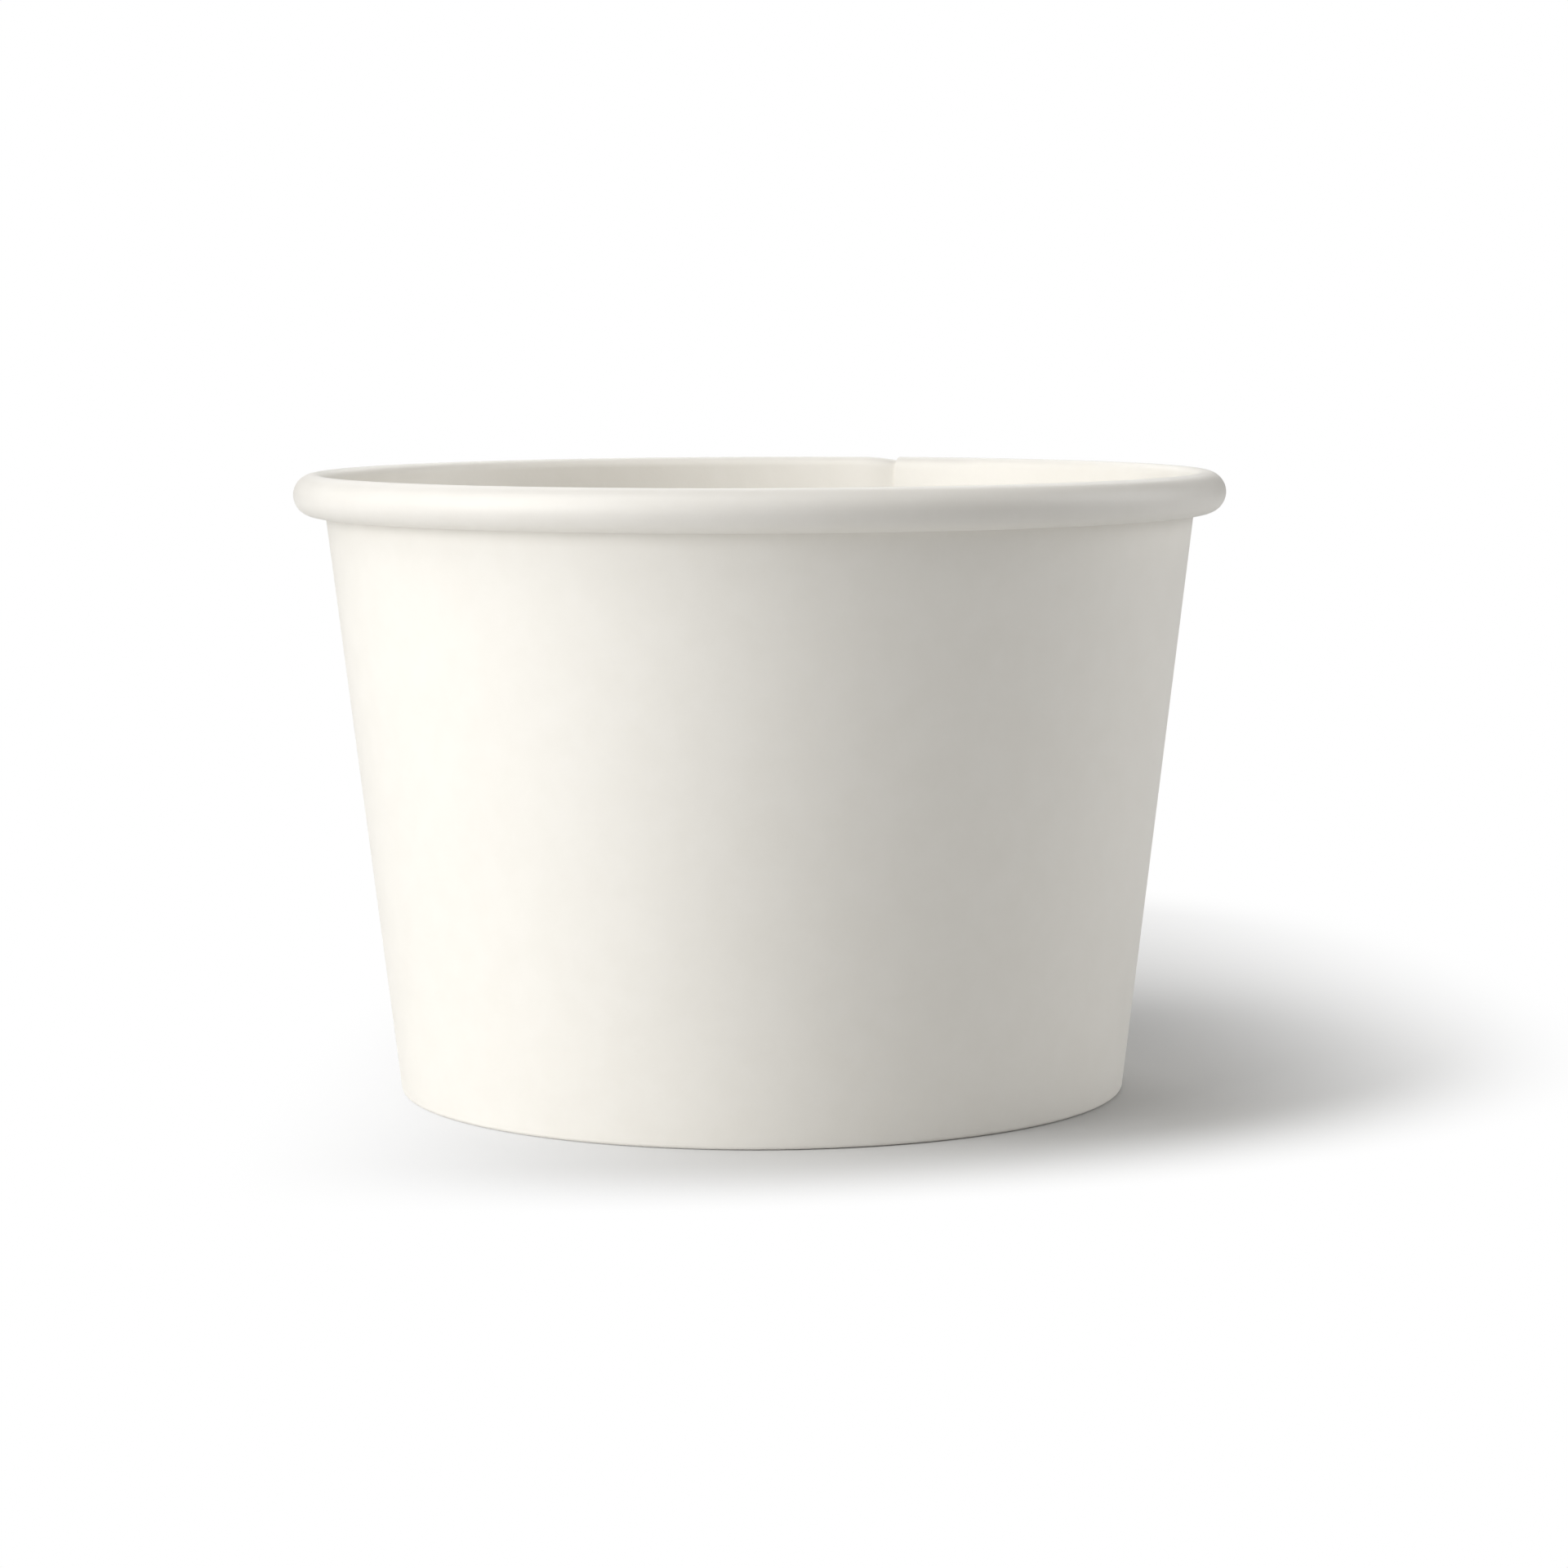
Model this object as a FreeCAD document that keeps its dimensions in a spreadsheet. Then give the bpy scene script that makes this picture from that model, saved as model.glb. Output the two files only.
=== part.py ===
import FreeCAD, Part
import math
import os

import Sketcher

# Paper sundae cup
#
# The cup is two pieces of coated paperboard. The side wall is a fan-shaped blank wrapped to a cone: its top
# edge is curled outwards and down into a hollow roll, its bottom edge is folded in and up as a hem, and its
# two ends are sealed over each other along a lap seam. The base disc has a skirt turned down round its
# edge, and the skirt is sealed between the side wall and the hem.
#
# Lengths are in millimetres and angles in degrees. The origin is on the table, in the middle of the foot,
# and +Z points up through the mouth. Azimuths are counted from +X towards +Y, which is the cup's back.

# Driving sizes: alias, value, what it measures
SIZES = (
    ("rim_diameter", 95.0, "over the rolled rim, the size that a lid has to fit"),
    ("roll_height", 4.2, "from the roll's underside to its crest"),
    ("roll_neck", 1.15, "from the middle of the roll's round side in to the wall under it"),
    ("cup_height", 63.4, "from the table to the roll's crest"),
    ("foot_diameter", 74.4, "over the side wall at the table"),
    ("wall_board", 0.38, "thickness of the side wall's board"),
    ("base_board", 0.32, "thickness of the base disc's board"),
    ("base_level", 7.0, "from the table to the base disc's upper face"),
    ("base_bend_radius", 0.45, "inside radius of the bend between disc and skirt"),
    ("hem_gap", 0.4, "from the hem's upper edge to the start of that bend"),
    ("seal_gap", 0.02, "melted film between two sealed faces"),
    ("roll_gap", 0.06, "free play between the curl's inner turn and the wall"),
    ("tuck_length", 1.2, "straight end of the curl, inside the roll"),
    ("seam_azimuth", 70.0, "where the inner end of the blank is cut"),
    ("lap_width", 8.0, "how far the blank's ends overlap, at the neck"),
    ("ramp_width", 2.0, "where the outer end climbs over the inner one, at the neck"),
    ("runout_width", 2.5, "where the thick roll at the seam thins out again"),
)

# Sizes that follow from the driving ones: alias, formula, what it measures
WORKED = (
    ("rim_radius", "Sizes.rim_diameter / 2", "roll's outermost edge"),
    ("roll_radius", "Sizes.roll_height / 2", "roll's round outer side"),
    ("roll_level", "Sizes.cup_height - roll_radius", "height of that side's centre"),
    ("roll_centre", "rim_radius - roll_radius", "distance of that centre from the axis"),
    ("foot_radius", "Sizes.foot_diameter / 2", "wall's outer face at the table"),
    ("neck_radius", "roll_centre - Sizes.roll_neck", "wall's outer face under the roll"),
    ("taper", "(neck_radius - foot_radius) / (Sizes.cup_height - Sizes.roll_height)", "wall's lean"),
    ("slope_cos", "1 / sqrt(1 + taper ^ 2)", "cosine of the wall's lean"),
    ("slope_sin", "taper * slope_cos", "sine of the wall's lean"),
    ("mouth_radius", "foot_radius + taper * Sizes.cup_height - Sizes.wall_board / slope_cos",
     "wall's inner face, carried on to the crest's height"),
    ("lap_roll_centre", "roll_centre + Sizes.wall_board / slope_cos",
     "the roll's centre where the board is double"),
    ("crest_radius", "(roll_centre - mouth_radius) * slope_cos / (1 - slope_sin)", "bend at the mouth"),
    ("lap_crest_radius", "(lap_roll_centre - mouth_radius) * slope_cos / (1 - slope_sin)",
     "the same where the board is double"),
    ("curl_radius", "(Sizes.roll_neck * slope_cos - Sizes.roll_gap) / (1 + slope_sin)",
     "bend at the roll's underside, back towards the wall"),
    ("ramp_angle", "Sizes.ramp_width / neck_radius * 180 / pi", "the ramp, as seen from the axis"),
    ("lap_angle", "Sizes.lap_width / neck_radius * 180 / pi", "the lap, as seen from the axis"),
    ("runout_angle", "Sizes.runout_width / neck_radius * 180 / pi", "the run-out, as seen from the axis"),
    ("plain_angle", "360 - ramp_angle - lap_angle - runout_angle", "the rest of the way round"),
    ("ramp_azimuth", "Sizes.seam_azimuth + ramp_angle", "where the outer end starts to climb"),
    ("lap_azimuth", "Sizes.seam_azimuth - lap_angle", "where the outer end of the blank is cut"),
    ("runout_azimuth", "lap_azimuth - runout_angle", "where the roll is thin again"),
    ("runout_sag", "neck_radius * (1 - cos(runout_angle / 2))", "how far the straight run-out cuts in"),
    ("skirt_face", "Sizes.wall_board + Sizes.seal_gap + runout_sag",
     "from the wall's outer face in to the skirt's"),
    ("hem_face", "skirt_face + Sizes.base_board + Sizes.seal_gap",
     "from the wall's outer face in to the hem's near one"),
    ("fold_radius", "(hem_face - Sizes.wall_board) / 4", "inside corners of the fold"),
    ("fold_level", "Sizes.wall_board + fold_radius", "height of those corners' centres"),
    ("lap_fold_level", "2 * Sizes.wall_board + fold_radius", "the same where the board is double"),
    ("wall_corner", "Sizes.wall_board + fold_radius", "from the wall's outer face in to its fold corner"),
    ("hem_corner", "hem_face - fold_radius", "from the wall's outer face in to the hem's fold corner"),
    ("skirt_level", "lap_fold_level + Sizes.seal_gap", "height of the skirt's lower edge"),
    ("bend_level", "Sizes.base_level - Sizes.base_board - Sizes.base_bend_radius",
     "height of the base bend's centre"),
    ("bend_face", "skirt_face + Sizes.base_board + Sizes.base_bend_radius",
     "from the wall's outer face in to the base bend's centre"),
    ("hem_level", "bend_level - Sizes.hem_gap", "height of the hem's upper edge"),
)

# Points of a sketch edge, and the sketch's origin and upright axis, as the constraints number them
START, END, CENTRE = range(1, 4)
ORIGIN, UPRIGHT = range(-1, -3, -1)

PARTS_FOLDER = "parts"


def make_sheet(doc, name, rows, prefix=""):
    """Fill a sheet with one row for each size: its alias, its value or formula, and what it measures."""
    sheet = doc.addObject("Spreadsheet::Sheet", name)
    for row, (alias, content, meaning) in enumerate(rows, start=1):
        sheet.set(f"A{row}", alias)
        sheet.set(f"B{row}", f"{prefix}{content}")
        sheet.setAlias(f"B{row}", alias)
        sheet.set(f"C{row}", meaning)
    doc.recompute()
    return sheet


doc = FreeCAD.newDocument("paper_sundae_cup")
make_sheet(doc, "Sizes", SIZES)
worked = make_sheet(doc, "Worked", WORKED, prefix="=")


def number(expression):
    """Value of an expression over the two sheets."""
    value = worked.evalExpression(expression)
    return float(getattr(value, "Value", value))


# The wall leans outwards by this angle, and a bend next to it ends square to the wall
LEAN = math.atan(number("Worked.taper"))
INWARD = math.pi - LEAN
OUTWARD = -LEAN
UP = math.pi / 2
DOWN = -math.pi / 2
BELOW = DOWN + 2 * math.pi

# Equal chords in each bend of the board. The outer face is inside the roll, out of sight, so it has fewer.
FOOD_FACE_FLATS = {"fold": 1, "crest": 3, "roll": 8, "curl": 3}
OUTER_FACE_FLATS = {"fold": 1, "crest": 1, "roll": 4, "curl": 1}
BASE_FLATS = {"inside": 1, "outside": 2}


def from_wall(level, distance):
    """Radius of a point at a height and at a distance in from the wall's outer face, square to it."""
    return f"Worked.foot_radius + Worked.taper * ({level}) - ({distance}) / Worked.slope_cos"


def upright_sketch(body, name, azimuth=None):
    """Sketch on the body's XZ plane, turned about the axis to an azimuth: x is the radius, y the height."""
    sketch = body.newObject("Sketcher::SketchObject", name)
    plane = next(item for item in body.Origin.OriginFeatures if item.Role == "XZ_Plane")
    sketch.AttachmentSupport = [(plane, "")]
    sketch.MapMode = "FlatFace"
    if azimuth:
        turn = f"rotation(vector(0; 1; 0); {azimuth})"
        sketch.setExpression("AttachmentOffset", f"placement(vector(0; 0; 0); {turn})")
    return sketch


def drive(sketch, expression, kind, *where):
    """Add a dimension to a sketch and bind it to an expression."""
    index = sketch.addConstraint(Sketcher.Constraint(kind, *where, number(expression)))
    sketch.setExpression(f"Constraints[{index}]", expression)


def add_line(sketch, start, end):
    """Add a straight edge."""
    return sketch.addGeometry(Part.LineSegment(start, end))


def add_bend(sketch, centre, radius, turn, flats):
    """Add a bend counter-clockwise from one direction to another, with its radius bound.

    The bend's true arc is a construction line, and the edge runs along it in equal chords. Turned about the
    axis, these give plain cones.
    """
    middle = FreeCAD.Vector(number(centre[0]), number(centre[1]), 0)
    circle = Part.Circle(middle, FreeCAD.Vector(0, 0, 1), number(radius))
    first, last = turn
    arc = sketch.addGeometry(Part.ArcOfCircle(circle, first, last), True)
    drive(sketch, radius, "Radius", arc)
    step = (last - first) / flats
    corners = [circle.value(first + step * count) for count in range(flats + 1)]
    chords = [add_line(sketch, *ends) for ends in zip(corners, corners[1:])]
    sketch.addConstraint(Sketcher.Constraint("Coincident", chords[0], START, arc, START))
    sketch.addConstraint(Sketcher.Constraint("Coincident", chords[-1], END, arc, END))
    for before, after in zip(chords, chords[1:]):
        sketch.addConstraint(Sketcher.Constraint("Coincident", before, END, after, START))
        sketch.addConstraint(Sketcher.Constraint("PointOnObject", before, END, arc))
        sketch.addConstraint(Sketcher.Constraint("Equal", before, after))
    return arc


def along_wall(point, length):
    """Point further up, in the direction that the wall leans."""
    return point + FreeCAD.Vector(math.sin(LEAN), math.cos(LEAN), 0) * length


def hold_lean(sketch, line):
    """Bind the direction of an upward line to the wall's lean."""
    index = sketch.addConstraint(Sketcher.Constraint("Angle", line, UP - LEAN))
    sketch.setExpression(f"Constraints[{index}]", "90 deg - atan(Worked.taper)")


def join_smoothly(sketch, *pairs):
    """Join each edge's point to the next edge's point, tangent to it."""
    for first, first_point, second, second_point in pairs:
        sketch.addConstraint(Sketcher.Constraint("Tangent", first, first_point, second, second_point))


def close_gap(sketch, first, second, point):
    """Join the same end of two edges with a straight edge."""
    edge = add_line(sketch, sketch.getPoint(first, point), sketch.getPoint(second, point))
    sketch.addConstraint(Sketcher.Constraint("Coincident", edge, START, first, point))
    sketch.addConstraint(Sketcher.Constraint("Coincident", edge, END, second, point))


def add_board_face(sketch, depth, flats, fold_level, crest_radius, roll_centre):
    """Draw one face of the bent board, at a depth below its food face, and return its first and last edge.

    The face runs from the hem's upper edge down round the fold, up the wall, over the crest, round the roll
    and back up along the wall. The food face is inside the cup and on the outside of the roll, so a deeper
    face has wider corners in the fold and narrower ones in the roll. flats says how many chords each bend
    has; the last three arguments place the fold, the crest and the roll.
    """
    fold_radius = f"Worked.fold_radius + {depth}"
    hem_centre = (from_wall(fold_level, "Worked.hem_corner"), fold_level)
    wall_centre = (from_wall(fold_level, "Worked.wall_corner"), fold_level)
    crest_centre = (roll_centre, f"Sizes.cup_height - {crest_radius}")
    curl_centre = (roll_centre, "Sizes.cup_height - Sizes.roll_height + Worked.curl_radius")
    hem_bend = add_bend(sketch, hem_centre, fold_radius, (INWARD, BELOW), flats["fold"])
    wall_bend = add_bend(sketch, wall_centre, fold_radius, (DOWN, OUTWARD), flats["fold"])
    crest = add_bend(sketch, crest_centre, f"{crest_radius} - {depth}", (UP, INWARD), flats["crest"])
    roll = add_bend(sketch, (roll_centre, "Worked.roll_level"), f"Worked.roll_radius - {depth}", (DOWN, UP),
                    flats["roll"])
    curl = add_bend(sketch, curl_centre, f"Worked.curl_radius - {depth}", (INWARD, BELOW), flats["curl"])
    for bend, radius in ((hem_bend, hem_centre[0]), (wall_bend, wall_centre[0]), (roll, roll_centre),
                         (curl, roll_centre)):
        drive(sketch, radius, "DistanceX", ORIGIN, START, bend, CENTRE)

    hem_start = sketch.getPoint(hem_bend, START)
    hem_level = f"Worked.hem_level + {depth} * Worked.slope_sin"
    hem_length = (number(hem_level) - hem_start.y) / math.cos(LEAN)
    hem = add_line(sketch, along_wall(hem_start, hem_length), hem_start)
    foot = add_line(sketch, sketch.getPoint(hem_bend, END), sketch.getPoint(wall_bend, START))
    wall = add_line(sketch, sketch.getPoint(wall_bend, END), sketch.getPoint(crest, END))
    curl_start = sketch.getPoint(curl, START)
    tuck = add_line(sketch, curl_start, along_wall(curl_start, number("Sizes.tuck_length")))

    join_smoothly(sketch,
                  (hem, END, hem_bend, START), (hem_bend, END, foot, START),
                  (foot, END, wall_bend, START), (wall_bend, END, wall, START),
                  (wall, END, crest, END), (crest, START, roll, END),
                  (roll, START, curl, END), (curl, START, tuck, START))
    sketch.addConstraint(Sketcher.Constraint("Horizontal", foot))
    sketch.addConstraint(Sketcher.Constraint("Parallel", hem, wall))
    sketch.addConstraint(Sketcher.Constraint("Parallel", tuck, wall))
    hold_lean(sketch, wall)
    drive(sketch, fold_level, "DistanceY", ORIGIN, START, wall_bend, CENTRE)
    drive(sketch, "Worked.roll_level", "DistanceY", ORIGIN, START, roll, CENTRE)
    drive(sketch, hem_level, "DistanceY", ORIGIN, START, hem, START)
    drive(sketch, "Sizes.tuck_length", "Distance", tuck)
    return hem, tuck


def board_section(body, name, azimuth, near, far, lap):
    """Sketch the bent board cut through at an azimuth, between two depths below the food face.

    In the lap the whole roll stands out, and the fold's corners stand up, by one thickness of board, which
    makes room for the second layer.
    """
    sketch = upright_sketch(body, name, azimuth)
    if lap:
        shape = ("Worked.lap_fold_level", "Worked.lap_crest_radius", "Worked.lap_roll_centre")
    else:
        shape = ("Worked.fold_level", "Worked.crest_radius", "Worked.roll_centre")
    near_hem, near_tuck = add_board_face(sketch, near, FOOD_FACE_FLATS, *shape)
    far_hem, far_tuck = add_board_face(sketch, far, OUTER_FACE_FLATS, *shape)
    close_gap(sketch, near_hem, far_hem, START)
    close_gap(sketch, near_tuck, far_tuck, END)
    return sketch


def revolve(body, name, sketch, angle=None):
    """Turn a sketch about the cup's axis, all the way round or by a bound angle."""
    solid = body.newObject("PartDesign::Revolution", name)
    solid.Profile = sketch
    solid.ReferenceAxis = (sketch, ["V_Axis"])
    if angle:
        solid.setExpression("Angle", angle)
    return solid


def blend(body, name, first, second):
    """Join two sections of the board with straight surfaces."""
    solid = body.newObject("PartDesign::AdditiveLoft", name)
    solid.Profile = first
    solid.Sections = [second]
    solid.Ruled = True
    return solid


def make_side_wall():
    """Wall, roll and hem of one blank, with its two ends sealed over each other.

    Going round from the inner end's cut edge, the blank passes under the lap, its roll thins out, it runs
    plainly round the cup, climbs one thickness outwards and lies over its own inner end.
    """
    body = doc.addObject("PartDesign::Body", "side_wall")
    body.Label = "side_wall"
    one_layer = "Sizes.wall_board"
    two_layers = "2 * Sizes.wall_board"
    climb_start = board_section(body, "climb_start", "Worked.ramp_azimuth", "0", one_layer, lap=False)
    climb_end = board_section(body, "climb_end", "Sizes.seam_azimuth", one_layer, two_layers, lap=True)
    double = board_section(body, "double", "Worked.lap_azimuth", "0", two_layers, lap=True)
    runout_start = board_section(body, "runout_start", "Worked.lap_azimuth", "0", one_layer, lap=True)
    runout_end = board_section(body, "runout_end", "Worked.runout_azimuth", "0", one_layer, lap=False)
    revolve(body, "plain_run", climb_start, "Worked.plain_angle")
    blend(body, "climb", climb_start, climb_end)
    revolve(body, "lap", double, "Worked.lap_angle")
    body.Tip = blend(body, "runout", runout_start, runout_end)
    return body


def make_base_disc():
    """Flat disc with its edge bent down to a skirt that follows the wall's lean."""
    body = doc.addObject("PartDesign::Body", "base_disc")
    body.Label = "base_disc"
    sketch = upright_sketch(body, "base_section")
    centre = (from_wall("Worked.bend_level", "Worked.bend_face"), "Worked.bend_level")
    edges = {}
    for side, radius in (("inside", "Sizes.base_bend_radius"),
                         ("outside", "Sizes.base_bend_radius + Sizes.base_board")):
        bend = add_bend(sketch, centre, radius, (OUTWARD, UP), BASE_FLATS[side])
        drive(sketch, centre[0], "DistanceX", ORIGIN, START, bend, CENTRE)
        drive(sketch, centre[1], "DistanceY", ORIGIN, START, bend, CENTRE)
        rim = sketch.getPoint(bend, END)
        disc = add_line(sketch, rim, FreeCAD.Vector(0, rim.y, 0))
        top = sketch.getPoint(bend, START)
        skirt_length = (top.y - number("Worked.skirt_level")) / math.cos(LEAN)
        skirt = add_line(sketch, along_wall(top, -skirt_length), top)
        join_smoothly(sketch, (bend, END, disc, START), (bend, START, skirt, END))
        sketch.addConstraint(Sketcher.Constraint("Horizontal", disc))
        sketch.addConstraint(Sketcher.Constraint("PointOnObject", disc, END, UPRIGHT))
        hold_lean(sketch, skirt)
        drive(sketch, "Worked.skirt_level", "DistanceY", ORIGIN, START, skirt, START)
        edges[side] = (disc, skirt)
    inside_disc, inside_skirt = edges["inside"]
    outside_disc, outside_skirt = edges["outside"]
    close_gap(sketch, inside_disc, outside_disc, END)
    close_gap(sketch, inside_skirt, outside_skirt, START)
    body.Tip = revolve(body, "turned_disc", sketch)
    return body


pieces = [make_side_wall(), make_base_disc()]
doc.recompute()

for item in doc.Objects:
    if "Invalid" in item.State or "Error" in item.State:
        raise RuntimeError(f"{item.Name} did not recompute: {item.State}")
for piece in pieces:
    if piece.Shape.isNull() or not piece.Shape.isValid():
        raise RuntimeError(f"{piece.Label} has no valid shape")

os.makedirs(PARTS_FOLDER, exist_ok=True)
for piece in pieces:
    shape = piece.Shape
    shape.exportStep(f"{PARTS_FOLDER}/{piece.Label}.step")
    box = shape.BoundBox
    print(f"{piece.Label}: {len(shape.Solids)} solid, {shape.Volume:.0f} mm3, {len(shape.Faces)} faces,",
          f"{box.XLength:.2f} by {box.YLength:.2f} by {box.ZLength:.2f} mm")
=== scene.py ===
# %% [markdown]
# # A paper sundae cup
#
# The real cup is two pieces of coated paperboard. A fan-shaped blank is wrapped to a cone and sealed along a
# lap seam; its top edge is curled outwards into a hollow roll and its bottom edge is folded in and up as a
# hem. A round disc with a turned-down skirt is sealed into that hem and makes the raised base.
#
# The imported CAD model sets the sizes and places. It draws the bends with short flats, because a checker
# needs few faces, so here both boards are made again as smooth bent sheets with a real thickness, with their
# cut edges, and with the marks that the cup machine's tools leave.

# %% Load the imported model
import math
import bpy
import numpy as np
from mathutils import Matrix, Vector


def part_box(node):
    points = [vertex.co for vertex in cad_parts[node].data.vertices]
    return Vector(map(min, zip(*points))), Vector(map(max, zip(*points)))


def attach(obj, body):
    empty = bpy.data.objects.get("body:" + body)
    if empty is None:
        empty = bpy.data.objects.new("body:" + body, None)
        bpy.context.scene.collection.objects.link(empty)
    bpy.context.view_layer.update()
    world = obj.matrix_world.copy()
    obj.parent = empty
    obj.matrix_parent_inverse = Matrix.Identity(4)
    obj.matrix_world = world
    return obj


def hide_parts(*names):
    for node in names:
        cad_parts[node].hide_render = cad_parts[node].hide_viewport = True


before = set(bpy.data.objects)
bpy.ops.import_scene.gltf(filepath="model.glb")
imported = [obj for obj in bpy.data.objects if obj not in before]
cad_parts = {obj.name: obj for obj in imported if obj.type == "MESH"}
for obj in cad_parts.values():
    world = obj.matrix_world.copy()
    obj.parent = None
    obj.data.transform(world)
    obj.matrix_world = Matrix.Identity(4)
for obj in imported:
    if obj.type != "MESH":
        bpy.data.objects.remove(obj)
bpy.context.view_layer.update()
print("CAD nodes:", sorted(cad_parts))

# %% [markdown]
# ## Sizes
#
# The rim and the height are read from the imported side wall, so that the sheets made here fit it. The other
# numbers are the ones that a cup maker would state: the board, the roll, the seam's lap and the hem. They
# are those of the CAD model, apart from the ramp, where the board climbs over its own cut edge: that is 2 mm
# wide there and 4 mm here, because a real board climbs slowly. All are in millimetres, and the meshes are
# turned to metres at the very end.

# %% Sizes of the cup, in millimetres
MM = 0.001
low, high = (np.array(corner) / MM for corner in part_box("side_wall"))
RIM_RADIUS = float(high[0] - low[0]) / 2
CUP_HEIGHT = float(high[2])
FOOT_RADIUS = 37.2
ROLL_HEIGHT = 4.2
ROLL_NECK = 1.15  # from the wall's outer face out to the roll's middle
ROLL_GAP = 0.06  # between the curled-in board and the wall
TUCK_LENGTH = 1.2
WALL_BOARD = 0.38
BASE_BOARD = 0.32
BASE_LEVEL = 7.0
BASE_BEND_RADIUS = 0.45
HEM_GAP = 0.4  # between the hem's top and the bend of the base
FOOT_FLAT = 0.5  # share of the foot's inner width that is flat, between its two bends
SEAL_GAP = 0.02  # melted film between the base and the wall
FILM = 0.01  # melted film between the two boards of the lap
SEAM_AZIMUTH = 70.0  # of the cut edge inside the cup, in degrees
LAP_WIDTH = 8.0
RAMP_WIDTH = 4.0
RUNOUT_WIDTH = 2.5  # where the roll comes back in beyond the lap
print(f"rim {2 * RIM_RADIUS:.2f} mm across, {CUP_HEIGHT:.2f} mm high")

# %% [markdown]
# ## The wall's lean and the places of its bends
#
# Everything follows from one slanting line: the wall's outer face, from the foot to the neck under the roll.
# A bend between that line and a level one is a circle that touches both, so its centre is found from the
# lean alone. In the lap there are two boards, so the roll stands out, and the fold stands up, by one board.

# %% Bend centres and radii
ROLL_RADIUS = ROLL_HEIGHT / 2
ROLL_LEVEL = CUP_HEIGHT - ROLL_RADIUS
ROLL_CENTRE = RIM_RADIUS - ROLL_RADIUS
NECK_RADIUS = ROLL_CENTRE - ROLL_NECK
TAPER = (NECK_RADIUS - FOOT_RADIUS) / (CUP_HEIGHT - ROLL_HEIGHT)
LEAN = math.atan(TAPER)
LEAN_COS, LEAN_SIN = math.cos(LEAN), math.sin(LEAN)
MOUTH_RADIUS = FOOT_RADIUS + TAPER * CUP_HEIGHT - WALL_BOARD / LEAN_COS
SECOND_BOARD = WALL_BOARD + FILM
CURL_RADIUS = (ROLL_NECK * LEAN_COS - ROLL_GAP) / (1 + LEAN_SIN)

RUNOUT_SAG = NECK_RADIUS * (1 - math.cos(RUNOUT_WIDTH / NECK_RADIUS / 2))
SKIRT_FACE = WALL_BOARD + SEAL_GAP + RUNOUT_SAG
HEM_FACE = SKIRT_FACE + BASE_BOARD + SEAL_GAP
FOLD_RADIUS = (HEM_FACE - WALL_BOARD) * (1 - FOOT_FLAT) / 2
FOLD_LEVEL = WALL_BOARD + FOLD_RADIUS
BEND_LEVEL = BASE_LEVEL - BASE_BOARD - BASE_BEND_RADIUS
HEM_LEVEL = BEND_LEVEL - HEM_GAP
SKIRT_LEVEL = FOLD_LEVEL + WALL_BOARD + SEAL_GAP
print(f"wall leans {math.degrees(LEAN):.2f} degrees")
print(f"roll bends at {ROLL_RADIUS:.2f} mm and its curl at {CURL_RADIUS:.2f} mm")

# %% [markdown]
# ## Drawing a bent sheet with arrays
#
# A sheet is a grid of points. One direction runs along the bent profile, from the hem to the end of the
# curl, and the other runs round the cup. Each helper below returns one stretch of the profile for all the
# azimuths at once, as arrays of radius and height with one row for each azimuth. This is why there is no
# loop over points: numpy works out the whole sheet in a few lines.

# %% Helpers: a bend, a straight stretch and two steps
def bend(centre, level, radius, start, end, count):
    """Points on a circle: radius = centre + r cos(a), height = level + r sin(a), for count angles a."""
    angle = np.linspace(start, end, count)
    return np.stack([centre + radius * np.cos(angle), level + radius * np.sin(angle)], axis=-1)


def straight(first, last, count):
    """count points evenly between two points, without the points themselves."""
    share = np.linspace(0, 1, count + 2)[1:-1, None]
    return first[:, None] * (1 - share) + last[:, None] * share


def soft_step(value, start, end):
    """0 up to start and 1 from end on, joined by the curve 3 s^2 - 2 s^3, which leaves and arrives level."""
    share = np.clip((value - start) / (end - start), 0, 1)
    return share * share * (3 - 2 * share)


def late_step(value, start, end):
    """0 up to start and 1 from end on, by (9 s^2 - s^18) / 8, which steepens and levels only at its end."""
    share = np.clip((value - start) / (end - start), 0, 1)
    return (9 * share ** 2 - share ** 18) / 8


def wall_radius(level, distance):
    """Radius at a height, at a distance in from the wall's outer face, square to it."""
    return FOOT_RADIUS + TAPER * level - distance / LEAN_COS


print(f"half way, the steps are at {soft_step(0.5, 0, 1):.2f} and {late_step(0.5, 0, 1):.2f}")

# %% [markdown]
# ## The side wall's profile
#
# Cut through, the wall is one strip of board: a hem that stands up inside the foot, a tight U-turn, the long
# slanting wall, the crest of the mouth, the big round turn of the roll, and the curl tucked back against the
# wall. Offsetting the same strip by its thickness gives the other face. On the inside of a bend the offset
# face has a smaller radius and on the outside a larger one, which is what keeps a board's thickness even.

# %% One face of the bent side wall
INWARD = math.pi - LEAN
OUTWARD = -LEAN
UP = math.pi / 2
DOWN = -math.pi / 2
BELOW = DOWN + 2 * math.pi
HEM_POINTS, FOLD_POINTS, WALL_POINTS, CREST_POINTS = 9, 6, 7, 9
ROLL_POINTS, CURL_POINTS, TUCK_POINTS = 22, 8, 3


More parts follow.
